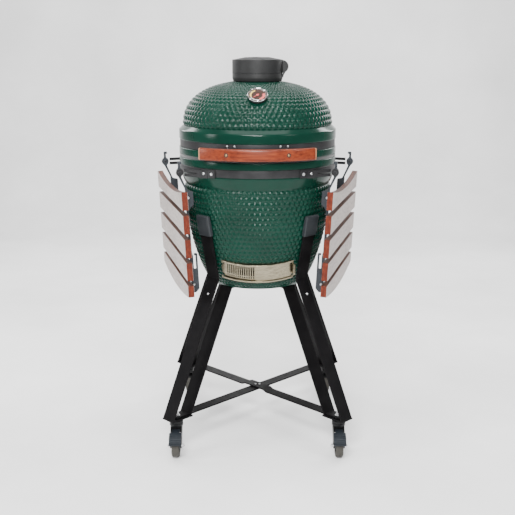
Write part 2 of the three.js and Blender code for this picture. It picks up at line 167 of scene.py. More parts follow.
def glaze():
    n = Nodes("bottle_green_glaze", Specular_IOR_Level=0.18)
    cloud = n.noise(9.0, 3.0)
    n.colour(n.ramp(cloud, ((0.3, (0.001, 0.019, 0.0115)), (0.7, (0.002, 0.028, 0.0175)))))
    n.rough(n.noise(60.0, 2.0), 0.15, 0.22)
    n.bump(n.noise(220.0, 2.0), 0.06, 0.0006)
    return n.material


def powder(name, dark, light, low, high, grain=900.0, metallic=0.0, strength=0.18, gloss=0.3):
    """Powder coat or cast skin: fine orange peel and slightly uneven gloss."""
    n = Nodes(name, Metallic=metallic, Specular_IOR_Level=gloss)
    n.colour(n.ramp(n.noise(26.0, 5.0), ((0.3, dark), (0.75, light))))
    n.rough(n.noise(45.0, 4.0), low, high)
    n.bump(n.noise(grain, 2.0), strength, 0.0004)
    return n.material


def brushed(name, dark, light, along, low, high):
    """Metal with fine scratches along one axis."""
    n = Nodes(name, Metallic=1.0)
    scratches = n.noise(1.0, 3.0, 0.7, n.stretched(along))
    n.colour(n.ramp(scratches, ((0.3, dark), (0.7, light))))
    n.rough(n.noise(18.0, 3.0), low, high)
    n.bump(scratches, 0.12, 0.0002)
    return n.material


def timber(name, dark, middle, light, along, turn=(0, 0, 0), low=0.35, high=0.55, coat=0.0, relief=0.25):
    """Wood with long grain streaks, pores and slow colour drift."""
    n = Nodes(name, Coat_Weight=coat, Coat_Roughness=0.18, Specular_IOR_Level=0.22)
    grain_place = n.stretched(along, turn)
    streaks = n.noise(1.0, 6.0, 0.62, grain_place, 0.35)
    drift = n.noise(5.0, 2.0)
    base = n.ramp(streaks, ((0.28, dark), (0.5, middle), (0.74, light)))
    shade = n.ramp(drift, ((0.3, (0.82, 0.8, 0.8)), (0.7, (1.0, 1.0, 1.0))))
    n.colour(n.mix(0.8, base, shade, "MULTIPLY"))
    n.rough(streaks, low, high)
    n.bump(streaks, relief, 0.0006)
    return n.material


def plain(name, colour, low, high, scale, strength, metallic=0.0, gloss=0.5, **sockets):
    n = Nodes(name, Metallic=metallic, Specular_IOR_Level=gloss, **sockets)
    darker = tuple(0.8 * c for c in colour)
    n.colour(n.ramp(n.noise(scale * 0.3, 4.0), ((0.3, darker), (0.7, colour))))
    n.rough(n.noise(scale, 3.0), low, high)
    n.bump(n.noise(scale * 5, 2.0), strength, 0.0004)
    return n.material


GRAIN_SLAT = (150.0, 5.0, 150.0)
GLAZE = glaze()
CLAY = plain("fire_clay", (0.62, 0.5, 0.38), 0.75, 0.9, 40.0, 0.5)
BISQUE = plain("bare_ceramic", (0.34, 0.29, 0.215), 0.75, 0.9, 30.0, 0.4)
FELT = plain("black_felt", (0.015, 0.015, 0.015), 0.9, 1.0, 260.0, 0.8, Sheen_Weight=0.3)
BAND = powder("band_steel", (0.012, 0.012, 0.013), (0.024, 0.024, 0.025), 0.34, 0.48, 700.0, 0.1, gloss=0.2)
BLACK = powder("stand_black", (0.003, 0.0028, 0.0032), (0.006, 0.0055, 0.006), 0.42, 0.56, gloss=0.07)
CAST = powder("cast_iron", (0.008, 0.0082, 0.0084), (0.0145, 0.0149, 0.0153), 0.5, 0.66, 420.0, 0.1, 0.32)
SLATE = powder("slate_coat", (0.02, 0.022, 0.026), (0.034, 0.038, 0.044), 0.4, 0.55, 700.0, 0.1, gloss=0.2)
ZINC = brushed("zinc_plate", (0.42, 0.42, 0.43), (0.68, 0.68, 0.69), (60, 60, 240), 0.22, 0.36)
STAINLESS = brushed("warm_stainless", (0.15, 0.13, 0.088), (0.35, 0.31, 0.225), (9, 260, 420), 0.22, 0.36)
BRASS = brushed("brass_bolt", (0.2, 0.12, 0.05), (0.4, 0.26, 0.12), (60, 60, 240), 0.3, 0.4)
CHROME = plain("chrome", (0.8, 0.8, 0.81), 0.06, 0.14, 60.0, 0.02, 1.0)
HANDLE = timber("handle_wood", (0.055, 0.0075, 0.0025), (0.15, 0.023, 0.0065), (0.225, 0.044, 0.0125),
                (7, 170, 170), coat=0.14, low=0.3, high=0.44)
END_GRAIN = timber("end_grain", (0.22, 0.09, 0.045), (0.36, 0.17, 0.09), (0.48, 0.27, 0.16),
                   (160, 160, 160))
PLASTIC = plain("black_plastic", (0.004, 0.0043, 0.0047), 0.4, 0.55, 200.0, 0.15, gloss=0.25)
PEDAL = plain("slate_plastic", (0.011, 0.0145, 0.019), 0.45, 0.6, 160.0, 0.15, gloss=0.18)
TREAD = plain("grey_tread", (0.045, 0.042, 0.036), 0.5, 0.68, 90.0, 0.25, gloss=0.3)
DIAL = plain("dial_brown", (0.035, 0.014, 0.009), 0.5, 0.6, 80.0, 0.03, gloss=0.15)
# Painted shade for the recess around each handle bolt.
BORE_SHADE = plain("painted_bore_shade", (0.004, 0.003, 0.003), 0.6, 0.8, 80.0, 0.03)
CAP = plain("cap_rubber", (0.014, 0.017, 0.02), 0.5, 0.66, 300.0, 0.12, gloss=0.35)
DIAL_GOLD = plain("dial_gold", (0.75, 0.5, 0.08), 0.3, 0.42, 80.0, 0.03)
DIAL_RED = plain("dial_red", (0.6, 0.06, 0.05), 0.3, 0.42, 80.0, 0.03)
DIAL_WHITE = plain("dial_white", (0.85, 0.85, 0.83), 0.3, 0.42, 80.0, 0.03)
FLOOR = plain("studio_floor", (0.93, 0.93, 0.93), 0.8, 0.9, 3.0, 0.0, gloss=0.0)


def slat_materials(side):
    """Board colours: pale faces, red-brown ends, long edges darker partly as painted shade."""
    turn = (0, 0, math.radians(side * SHELF_TOE))
    pale = timber(f"slat_pale_{side}", (0.29, 0.25, 0.235), (0.41, 0.37, 0.35), (0.52, 0.48, 0.455),
                  GRAIN_SLAT, turn, 0.5, 0.68, relief=0.35)
    end = timber(f"slat_end_{side}", (0.045, 0.0065, 0.0025), (0.1, 0.0135, 0.0045), (0.175, 0.03, 0.009),
                 (150, 150, 60), turn, 0.4, 0.55)
    # Long edges: the wood's own darker brown together with painted shade between the boards.
    shaded_long_edge = timber(f"slat_edge_painted_shade_{side}", (0.03, 0.011, 0.007), (0.07, 0.022, 0.012),
                       (0.13, 0.045, 0.025), GRAIN_SLAT, turn, 0.45, 0.6)
    return pale, end, shaded_long_edge


# ---------------- shape helpers
# A shape is (array of points, list of faces).
def moved(shape, matrix):
    points, faces = shape
    m = np.array(matrix)
    return points @ m[:3, :3].T + m[:3, 3], faces


def joined(*shapes):
    points, faces, start = [], [], 0
    for some_points, some_faces in shapes:
        points.append(some_points)
        faces.extend(tuple(i + start for i in face) for face in some_faces)
        start += len(some_points)
    return np.vstack(points), faces


def mirrored(shape):
    points, faces = shape
    return points * (-1, 1, 1), [face[::-1] for face in faces]


def shifted(shape, x=0.0, y=0.0, z=0.0):
    return moved(shape, Matrix.Translation((x, y, z)))


def spun(shape, degrees, axis="Z"):
    return moved(shape, Matrix.Rotation(math.radians(degrees), 4, axis))


def aimed(shape, position, direction):
    """Turns the shape's +Z to direction and moves its origin to position."""
    turn = Z.rotation_difference(Vector(direction)).to_matrix().to_4x4()
    return moved(shape, Matrix.Translation(position) @ turn)


def outward(degrees):
    """Unit vector away from the middle axis: 0 degrees is the front (-Y) and 90 degrees is +X."""
    a = math.radians(degrees)
    return Vector((math.sin(a), -math.cos(a), 0))


def quads_between(rows, count, wrap_rows):
    """Quads of a grid of rows by count, closed around, in one array."""
    here = np.arange(rows if wrap_rows else rows - 1)[:, None] * count
    above = (here + count) % (rows * count)
    i = np.arange(count)[None, :]
    j = (i + 1) % count
    return np.stack([here + i, here + j, above + j, above + i], axis=-1).reshape(-1, 4)


def end_faces(count, last):
    """The two closing faces of a shape whose first and last rings of points start at 0 and at last."""
    return [tuple(range(count))[::-1], tuple(range(last, last + count))]


def ring_rows(profile, count):
    """Grid of points, one row of count around Z for each (radius, height) of the profile."""
    angle = np.arange(count) * 2 * math.pi / count
    profile = np.array(profile, dtype=float)
    r, z = profile[:, 0][:, None], profile[:, 1][:, None]
    return np.stack([r * np.cos(angle), r * np.sin(angle), z * np.ones(count)], axis=2)


def turned(profile, count=96, loop=False):
    """Surface of revolution; the profile of (radius, height) runs up the outside."""
    rows = ring_rows([(max(r, 0.02), z) for r, z in profile], count)
    faces = [tuple(q) for q in quads_between(len(rows), count, loop).tolist()]
    if not loop:
        faces += end_faces(count, (len(rows) - 1) * count)
    return rows.reshape(-1, 3), faces


def prism(outline, low, high):
    n = len(outline)
    points = [(x, y, low) for x, y in outline] + [(x, y, high) for x, y in outline]
    sides = [(i, (i + 1) % n, (i + 1) % n + n, i + n) for i in range(n)]
    return np.array(points, dtype=float), end_faces(n, n) + sides


def upright(outline, width):
    """Outline given as (x, z), with a width centred on the XZ plane."""
    points, faces = prism(outline, -width / 2, width / 2)
    return points[:, (0, 2, 1)] * (1, -1, 1), faces


def across(outline, width):
    """Outline given as (y, z), with a width centred on the YZ plane."""
    points, faces = prism(outline, -width / 2, width / 2)
    return points[:, (2, 0, 1)], faces


def rect(a, b):
    """Corners of the rectangle that spans range a by range b."""
    return ((a[0], b[0]), (a[1], b[0]), (a[1], b[1]), (a[0], b[1]))


def box(x, y, z):
    return prism(rect(x, y), *z)


def strip(path, thick):
    """Outline of a bent strip of even thickness along a list of 2-D points."""
    points = [Vector(p) for p in path]
    normals = []
    for a, b in zip(points, points[1:]):
        d = (b - a).normalized()
        normals.append(Vector((-d.y, d.x)))
    left, right = [], []
    for i, point in enumerate(points):
        before, after = normals[max(i - 1, 0)], normals[min(i, len(normals) - 1)]
        mitre = (before + after) / (1 + before.dot(after))
        left.append(tuple(point + mitre * thick / 2))
        right.append(tuple(point - mitre * thick / 2))
    return left + right[::-1]


def soft_corner(before, here, after, radius, steps):
    """Points of a curve that cuts the corner at here, starting at most radius away from it."""
    before, here, after = Vector(before), Vector(here), Vector(after)
    reach = min(radius, (before - here).length * 0.45, (after - here).length * 0.45)
    a = here + (before - here).normalized() * reach
    b = here + (after - here).normalized() * reach
    shares = [step / steps for step in range(steps + 1)]
    return [tuple(a * (1 - t) ** 2 + here * 2 * t * (1 - t) + b * t ** 2) for t in shares]


def rounded(outline, radius, steps=4):
    """The closed outline with every corner softened."""
    result = []
    for i in range(len(outline)):
        after = outline[(i + 1) % len(outline)]
        result += soft_corner(outline[i - 1], outline[i], after, radius, steps)
    return result


def fillet(profile, radius):
    """The open profile with its inner corners softened."""
    result = [profile[0]]
    for before, here, after in zip(profile, profile[1:], profile[2:]):
        result += soft_corner(before, here, after, radius, 4)
    return result + [profile[-1]]


def swept(section, start, end, steps=24):
    """Section of (radius, height) swept about Z from the front (-Y) towards +X, with closed ends."""
    rows = []
    for step in range(steps + 1):
        a = math.radians(start + (end - start) * step / steps)
        rows.append([(r * math.sin(a), -r * math.cos(a), z) for r, z in section])
    n = len(section)
    faces = [tuple(range(n)), tuple(range(steps * n, steps * n + n))[::-1]]
    for step in range(steps):
        for i in range(n):
            j = (i + 1) % n
            faces.append((step * n + i, (step + 1) * n + i, (step + 1) * n + j, step * n + j))
    return np.array(rows, dtype=float).reshape(-1, 3), faces


def screw(radius):
    """Button head with a round socket, seen from +Z."""
    return turned(((radius, 0), (radius, radius * 0.3), (radius * 0.72, radius * 0.62),
                   (radius * 0.42, radius * 0.68), (radius * 0.42, radius * 0.25), (0, radius * 0.25)), 24)


def screws_around(radius, reach, height, angles):
    """Screw heads that stand out of a round band, at angles from the front."""
    heads = []
    for angle in angles:
        out = outward(angle)
        heads.append(aimed(screw(radius), out * reach + Z * height, out))
    return joined(*heads)


def hex_head(radius, height):
    outline = [(radius * math.cos(math.radians(60 * i)), radius * math.sin(math.radians(60 * i)))
               for i in range(6)]
    return prism(outline, 0, height)


def washer(radius, height):
    return turned(((radius, 0), (radius, height), (0, height)), 24)


def nut_stack(radius, stud):
    """Washer, nut and the threaded end that stands out of it."""
    return joined(washer(radius * 1.35, 1.6), shifted(hex_head(radius, radius * 0.8), z=1.6),
                  turned(((radius * 0.52, 1), (radius * 0.52, stud), (radius * 0.36, stud + 1.5),
                          (0, stud + 1.5)), 20))


# ---------------- making pieces
def added(name, data):
    """A new object in the scene."""
    obj = bpy.data.objects.new(name, data)
    bpy.context.scene.collection.objects.link(obj)
    return obj


def enlist(obj, body, stands_for):
    """Tells the frame which body a piece rides on, which CAD nodes it replaces."""
    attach(obj, body)
    if stands_for:
        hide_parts(*stands_for)


def piece(name, shape, material, body, stands_for=(), slot=None, bevel=0.0, sharp=35.0, clean=True):
    """One Blender object that rides on a body; bevel in millimetres rounds its hard edges."""
    points, faces = shape
    mesh = bpy.data.meshes.new(name)
    mesh.from_pydata((points * MM).tolist(), [], faces)
    if clean:
        work = bmesh.new()
        work.from_mesh(mesh)
        bmesh.ops.recalc_face_normals(work, faces=work.faces)
        work.to_mesh(mesh)
        work.free()
    for one in material if isinstance(material, (list, tuple)) else [material]:
        mesh.materials.append(one)
    obj = added(name, mesh)
    mesh.polygons.foreach_set("use_smooth", [True] * len(mesh.polygons))
    if bevel:
        edge = obj.modifiers.new("edge", "BEVEL")
        edge.width = bevel * MM
        edge.segments = 3
        edge.limit_method = "ANGLE"
        edge.angle_limit = math.radians(32)
        edge.harden_normals = True
    else:
        mesh.set_sharp_from_angle(angle=math.radians(sharp))
    enlist(obj, body, stands_for)
    return obj


def wire(name, paths, radius, material, body, stands_for=(), loops=False):
    """Round wires along lists of points, as one curve object."""
    curve = bpy.data.curves.new(name, "CURVE")
    curve.dimensions = "3D"
    curve.bevel_depth = radius * MM
    curve.bevel_resolution = 3
    curve.use_fill_caps = True
    for path in paths:
        spline = curve.splines.new("POLY")
        spline.points.add(len(path) - 1)
        for point, (x, y, z) in zip(spline.points, path):
            point.co = (x * MM, y * MM, z * MM, 1.0)
        spline.use_cyclic_u = loops
    curve.materials.append(material)
    obj = added(name, curve)
    enlist(obj, body, stands_for)


# ---------------- camera, light, floor
def studio():
    camera = added("camera", bpy.data.cameras.new("camera"))
    camera.location = CAMERA_PLACE
    camera.rotation_euler = (math.radians(CAMERA_TILT), 0.0, 0.0)
    camera.data.lens = CAMERA_LENS
    bpy.context.scene.camera = camera

    def softbox(name, place, size, power, target=(0.0, 0.0, 0.75)):
        """Rectangular light, in metres and watts, that the camera doesn't see."""
        lamp = added(name, bpy.data.lights.new(name, "AREA"))
        lamp.data.shape = "RECTANGLE"
        lamp.data.size, lamp.data.size_y = size
        lamp.data.energy = power
        lamp.location = place
        lamp.visible_camera = False
        lamp.rotation_euler = (Vector(target) - Vector(place)).to_track_quat("-Z", "Y").to_euler()

    softbox("key", (-0.6, -2.8, 3.0), (1.0, 0.7), 140)
    softbox("front", (0.0, -3.0, 1.8), (0.7, 0.4), 95)
    softbox("fill", (2.6, -2.4, 2.2), (0.9, 1.4), 35)
    softbox("left", (-2.9, -1.2, 1.6), (0.7, 1.6), 45)
    softbox("overhead", (0.0, -0.2, 3.6), (2.4, 1.8), 60)
    softbox("back_left", (-2.0, 1.9, 2.0), (0.6, 1.6), 40)
    softbox("back_right", (2.0, 1.9, 2.0), (0.6, 1.6), 40)
    softbox("wall", (0.0, 1.4, 4.4), (3.4, 0.7), 260, (0.0, 4.8, 1.0))

    world = bpy.data.worlds.new("studio")
    world.use_nodes = True
    background = world.node_tree.nodes["Background"]
    background.inputs["Color"].default_value = (1.0, 1.0, 1.0, 1.0)
    background.inputs["Strength"].default_value = 0.4
    bpy.context.scene.world = world
    backdrop()


def backdrop():
    """Pale floor that curves up into a wall behind the grill."""
    bend, reach, height, half = 1.6, 3.2, 7.0, 13.0
    profile = [(-14.0, 0.0), (reach, 0.0)]
    steps = 16
    for step in range(1, steps + 1):
        a = math.pi / 2 * step / steps
        profile.append((reach + bend * math.sin(a), bend - bend * math.cos(a)))
    profile.append((reach + bend, height))
    points = [(x, y, z) for y, z in profile for x in (-half, half)]
    faces = [(2 * i, 2 * i + 1, 2 * i + 3, 2 * i + 2) for i in range(len(profile) - 1)]
    sheet = bpy.data.meshes.new("backdrop")
    sheet.from_pydata(points, [], faces)
    sheet.polygons.foreach_set("use_smooth", [True] * len(faces))
    sheet.materials.append(FLOOR)
    added("backdrop", sheet)


# ---------------- ceramic with bumps
def dense(profile):
    """The profile resampled at even steps of about a millimetre, with its arc length."""
    points = np.array(profile, dtype=float)
    length = np.concatenate([[0], np.cumsum(np.linalg.norm(np.diff(points, axis=0), axis=1))])
    s = np.linspace(0, length[-1], int(length[-1]) + 2)
    return np.stack([np.interp(s, length, points[:, k]) for k in (0, 1)], axis=1), s


def bump_rows(profile, calm):
    """Grid rows over a profile, raised into staggered bumps that keep their count around each row.
    calm(x, y, z) gives 0 where the surface stays smooth and 1 where the bumps are full."""
    points, s = dense(profile)
    pitch = 2 * math.pi * points[:, 0] / BUMP_COUNT
    rate = 1 / (BUMP_ROW * pitch)
    v = np.concatenate([[0], np.cumsum((rate[1:] + rate[:-1]) / 2 * np.diff(s))])
    bumps = int(v[-1])
    v *= bumps / v[-1]
    grid_v = np.linspace(0, bumps, bumps * BUMP_STEPS + 1)
    line = np.stack([np.interp(grid_v, v, points[:, k]) for k in (0, 1)], axis=1)
    tangent = np.gradient(line, axis=0)
    tangent /= np.linalg.norm(tangent, axis=1)[:, None]
    normal = np.stack([tangent[:, 1], -tangent[:, 0]], axis=1)

    count = BUMP_COUNT * BUMP_STEPS
    u = np.arange(count) / BUMP_STEPS
    row = grid_v[:, None] - 0.5
    local = 2 * math.pi * line[:, 0][:, None] / BUMP_COUNT
    nearest = np.full((len(grid_v), count), np.inf)
    for step in (-1, 0, 1):
        k = np.clip(np.round(row) + step, 0, bumps - 1)
        offset = (u[None, :] - 0.5 * (k % 2) + 0.5) % 1.0 - 0.5
        distance = np.hypot(offset, (row - k) * BUMP_ROW)
        nearest = np.minimum(nearest, distance)
    crown = np.clip(1 - (nearest / BUMP_REACH) ** 2, 0, 1)
    size = np.clip(local / FULL_PITCH, LEAST_BUMP, 1.0)
    angle = u * 2 * math.pi / BUMP_COUNT
    r = line[:, 0][:, None] * np.ones(count)
    z = line[:, 1][:, None] * np.ones(count)
    height = BUMP_HEIGHT * size * crown * calm(r * np.cos(angle), r * np.sin(angle), z)
    r = r + height * normal[:, 0][:, None]
    z = z + height * normal[:, 1][:, None]
    return np.stack([r * np.cos(angle), r * np.sin(angle), z], axis=2)


def body_radius(z):
    return BODY_R * math.sqrt(1 - ((BODY_TOP - z) / BODY_SQUASH) ** 2)


def dome_height(r, radius, rise):
    return DOME_FOOT + rise * (1 - (r / radius) ** DOME_POWER) ** (1 / DOME_POWER)


def thermo_centre():
    share = 1 - ((THERMO_Z - DOME_FOOT) / DOME_RISE) ** DOME_POWER
    return (0.0, -DOME_R * share ** (1 / DOME_POWER), THERMO_Z)


def base_shell():
    levels = np.linspace(538, BODY_TOP, 60)

    def calm(x, y, z):
        beside_draft = np.clip((np.abs(x) - 108) / 8, 0, 1)
        above_draft = np.clip(np.abs(z - 590) / 6 - 5, 0, 1)
        return np.where(y < 0, np.maximum(beside_draft, above_draft), 1.0)

    bumped = bump_rows([(body_radius(z), z) for z in levels], calm)
    count = bumped.shape[1]
    foot = fillet([(30, BASE_BOTTOM), (150, BASE_BOTTOM), (160, 528.5), (body_radius(538), 538)], 6)
    shelf_z = BOWL_BAND[1] + 0.6
    rim = fillet([(body_radius(BODY_TOP), BODY_TOP), (245, 870), (255.5, 899), (256.5, shelf_z),
                  (COLLAR_R, shelf_z), (COLLAR_R, BOWL_RIM), (MOUTH_R, BOWL_RIM), (MOUTH_R, 905),
                  (215, 880)], 3.5)
    inner = [(body_radius(z) - WALL, z) for z in np.linspace(BODY_TOP, 560, 16)]
    floor = [(134, 552), (30, 552)]
    rows = np.concatenate([ring_rows(foot, count), bumped[1:-1], ring_rows(rim + inner + floor, count)])
    points = rows.reshape(-1, 3)
    tilt = math.radians(DRAFT_TILT)

    def mouth(x, y, z):
        """Where the air opening passes through the wall, square to the draft frame."""
        out = -y * math.cos(tilt) - (z - DRAFT_AXIS[2]) * math.sin(tilt)
        up = -y * math.sin(tilt) + (z - DRAFT_AXIS[2]) * math.cos(tilt)
        return (y < -90) & (np.abs(np.degrees(np.arctan2(x, out))) < 25) & (np.abs(up) < 21)

    quads = quads_between(len(rows), count, False)
    quads = quads[~mouth(*points[quads].mean(axis=1).T)]
    faces = [tuple(q) for q in quads.tolist()] + end_faces(count, (len(rows) - 1) * count)
    shell = piece("base_ceramic", (points, faces), [GLAZE, BISQUE], "stand", ["base_shell"],
                  clean=False, sharp=60)
    leave_unglazed(shell, lambda z, away, up: (away < -0.2) | ((up > 0.8) & (z < 600)))


def leave_unglazed(shell, hollow):
    """Gives the faces of the hollow the bare ceramic: hollow(z, away, up) tests a face's height and
    the two parts of its normal, away from the middle axis and upwards."""
    polygons = shell.data.polygons
    centre, normal = np.empty(len(polygons) * 3), np.empty(len(polygons) * 3)
    polygons.foreach_get("center", centre)
    polygons.foreach_get("normal", normal)
    centre, normal = centre.reshape(-1, 3), normal.reshape(-1, 3)
    radius = np.hypot(centre[:, 0], centre[:, 1])
    away = (centre[:, 0] * normal[:, 0] + centre[:, 1] * normal[:, 1]) / np.maximum(radius, 1e-6)
    bare = hollow(centre[:, 2] / MM, away, normal[:, 2]) & (radius / MM < MOUTH_R + 1)
    polygons.foreach_set("material_index", bare.astype(int).tolist())


def lid_shell():
    centre = thermo_centre()

    def calm(x, y, z):
        gap = np.sqrt((x - centre[0]) ** 2 + (y - centre[1]) ** 2 + (z - centre[2]) ** 2)
        return np.clip((gap - 32) / 6, 0, 1)

    radii = DOME_R * np.sin(np.linspace(math.pi / 2 - 0.001, math.asin(83.0 / DOME_R), 90))
    bumped = bump_rows([(r, dome_height(r, DOME_R, DOME_RISE)) for r in radii], calm)
    count = bumped.shape[1]
    rim = fillet([(MOUTH_R, 990), (MOUTH_R, LID_RIM), (COLLAR_R, LID_RIM), (COLLAR_R, 984.6), (254, 985),
                  (254, 1010), (COLLAR_R, 1010.4), (COLLAR_R, 1040), (245.5, 1053.5), (DOME_R, DOME_FOOT)],
                 3.5)
    crown = [(75, dome_height(75, DOME_R, DOME_RISE)), (THROAT_R, 1194)]
    inner = [(r, dome_height(r, 219, 117)) for r in (60, 90, 120, 145, 165, 182, 196, 207, 214, 218)]
    rows = np.concatenate([ring_rows(rim, count), bumped[1:], ring_rows(crown + inner, count),
                           ring_rows([(219, DOME_FOOT), (225, 1010)], count)])
    points = rows.reshape(-1, 3)
    faces = [tuple(q) for q in quads_between(len(rows), count, True).tolist()]
    shell = piece("lid_ceramic", (points, faces), [GLAZE, BISQUE], "lid", ["lid_shell"],
                  clean=False, sharp=60)
    leave_unglazed(shell, lambda z, away, up: ((away < -0.05) | (z > 1040)) & (up < 0.15) & (away < 0.2))


def draft_sleeve():
    """Sheet-metal lining of the air opening through the ceramic wall."""
    walls = [swept(rect((160, 206), z), -25.5, 25.5, 12) for z in ((21.5, 23), (-23, -21.5))]
    walls += [swept(rect((160, 206), (-22, 22)), x * 25, x * 25.6, 1) for x in (1, -1)]
    piece("draft_lining", draft_place(joined(*walls)), BLACK, "stand", bevel=0.4)


# ---------------- bands, gasket, rear hinge
def hoop(inner, outer, low, high, edge):
    """Ring of rectangular section with rounded edges."""
    return turned(rounded(rect((inner, outer), (low, high)), edge, 3), 192, loop=True)


def bands():
    piece("lid_band_hoop", hoop(254.2, 257.5, *LID_BAND, 1.4), BAND, "lid", ["lid_band"])
    piece("base_band_hoop", hoop(256.8, 260.3, *BOWL_BAND, 1.4), BAND, "stand", ["base_band"])
    piece("felt_gasket", hoop(230, 259.2, BOWL_RIM + 0.4, LID_RIM - 0.2, 2.0), FELT, "lid", ["lid_gasket"])


def hinge_cheeks(outline, cheek_x, plate_half, plate_r, plate_z):
    """Two side plates joined by a back plate that follows the band."""
    sides = [shifted(across(rounded(outline, 5), 6), x=x) for x in (-cheek_x, cheek_x)]
    half = math.degrees(math.asin(plate_half / plate_r))
    back = swept(rect((plate_r, plate_r + 4.5), plate_z), 180 - half, 180 + half, 20)
    return joined(*sides, back)


def hinge_spring(x):
    """Points of a coil around the hinge pin, on the side that x (1 or -1) gives."""
    turns, steps, radius = 6.5, 24, 9.2
    start, length = 12, 37
    helix = []
    for i in range(int(turns * steps) + 1):
        a = 2 * math.pi * i / steps
        along = x * (start + length * i / (turns * steps))
        helix.append((along, HINGE_Y + radius * math.sin(a), HINGE_Z + radius * math.cos(a)))
    return helix


def rear_hinge():
    base_side = [(262, 907), (284, 907), (318, 944), (318, 968), (294, 968), (262, 929)]
    lid_side = [(263, 988), (296, 944), (316, 944), (316, 968), (285, 1009), (263, 1009)]
    piece("hinge_bracket_base", hinge_cheeks(base_side, 72, 76, 260.5, (906.5, 929)), BAND, "stand",
          ["base_hinge_arm"], bevel=0.9)
    piece("hinge_bracket_lid", hinge_cheeks(lid_side, 60, 62, 257.8, (986.5, 1009)), BAND, "lid",
          ["lid_hinge_arm"], bevel=0.9)
    pin = turned(((5, -82), (5, 82), (0, 82)), 32)
    heads = [shifted(hex_head(8.5, 5), z=z) for z in (-81, 76)]
    axle = aimed(joined(pin, *heads), (0, HINGE_Y, HINGE_Z), X)
    piece("hinge_axle", axle, ZINC, "stand", ["hinge_pin"], bevel=0.5)
    for side, x in SIDES:
        wire(f"hinge_coil_{side}", [hinge_spring(x)], 2.2, ZINC, "stand", [f"hinge_spring_{side}"])
    rows = (("base", "stand", 917.5, 265.0, 50), ("lid", "lid", 998, 262.3, 40))
    for name, body, height, reach, half in rows:
        angles = [180 - math.degrees(math.asin(x / reach)) for x in (-half, 0, half)]
        piece(f"hinge_bolts_{name}", screws_around(6, reach - 0.4, height, angles), ZINC, body)


# ---------------- inside the base
def fire_box():
    pot = [(28, 556), (112, 556), (148, 640), (182, 740), (188, 786), (166, 786), (160, 740), (128, 640),
           (112, 610), (96, 610), (96, 578), (28, 578)]
    piece("fire_pot", turned(rounded(pot, 3), 128, loop=True), CLAY, "stand", ["fire_box"])
    ring = rounded(rect((168, 190), (786.6, 840)), 3)
    piece("fire_collar", turned(ring, 128, loop=True), CLAY, "stand", ["fire_ring"])


def chords(count, pitch, radius):
    """Parallel chords of a circle: (distance from its middle, half length) of each."""
    offsets = [i * pitch for i in range(-count, count + 1)]
    return [(offset, math.sqrt(radius ** 2 - offset ** 2)) for offset in offsets]


def charcoal_grate():
    rim = rounded(rect((95, 106), (610.4, 618)), 2)
    bars = [box((x - 3.2, x + 3.2), (-half, half), (610.6, 617.4)) for x, half in chords(6, 14.5, 98)]
    plate = joined(turned(rim, 96, loop=True), *bars)
    piece("charcoal_plate", plate, CAST, "stand", ["charcoal_grate"], bevel=0.8)


def cooking_grate():
    rods = [[(x, -half, 846), (x, half, 846)] for x, half in chords(14, 14, 203)]
    rods += [[(-half, y, 844), (half, y, 844)] for y, half in chords(1, 95, 203) if y]
    wire("grate_rods", rods, 2.6, STAINLESS, "cooking_grate", ["cooking_grate"])
    circle = [(204 * math.cos(a), 204 * math.sin(a), 845) for a in np.linspace(0, 2 * math.pi, 97)[:-1]]
    wire("grate_rim", [circle], 3.6, STAINLESS, "cooking_grate", loops=True)


# ---------------- lid handle
def handle():
    section = rounded(rect((295, 315), (964, 1001)), 5.5, 4)
    half_turn, bolt_z = 34.4, 983
    piece("handle_bar", swept(section, -half_turn, half_turn, 64), HANDLE, "lid", ["lid_handle"], bevel=0.8)
    for side, x in SIDES:
        cap = swept(rounded(rect((295.4, 314.6), (964.4, 1000.6)), 5.2, 4), x * 34.45, x * 35.15, 2)
        piece(f"handle_end_{side}", cap, END_GRAIN, "lid", bevel=0.6)
        turn = x * 18.3
        foot = swept(rect((257.6, 261.4), (986, 1009)), turn - 3.8, turn + 3.8, 6)
        neck = spun(box((-8, 8), (-295.6, -260), (986, 999)), turn)
        piece(f"handle_bracket_{side}", joined(foot, neck), BAND, "lid", [f"handle_standoff_{side}"],
              bevel=1.2)
        heads = screws_around(3.4, 261.3, 1004.5, (turn - 2.6, turn + 2.6))
        piece(f"handle_screws_{side}", heads, ZINC, "lid")
        out = outward(turn * 0.96)
        # Thin dark disc on the handle face: painted shade standing for the bolt's recess.
        well = turned(((6.4, 0), (6.4, 0.5), (0, 0.5)), 28)
        piece(f"handle_well_shade_{side}", aimed(well, out * 314.6 + Z * bolt_z, out), BORE_SHADE, "lid")
        head = turned(((3.4, 0), (3.4, 0.3), (2.4, 0.8), (1.0, 0.4), (0, 0.4)), 24)
        piece(f"handle_bolt_{side}", aimed(head, out * 315.0 + Z * bolt_z, out), BRASS, "lid")


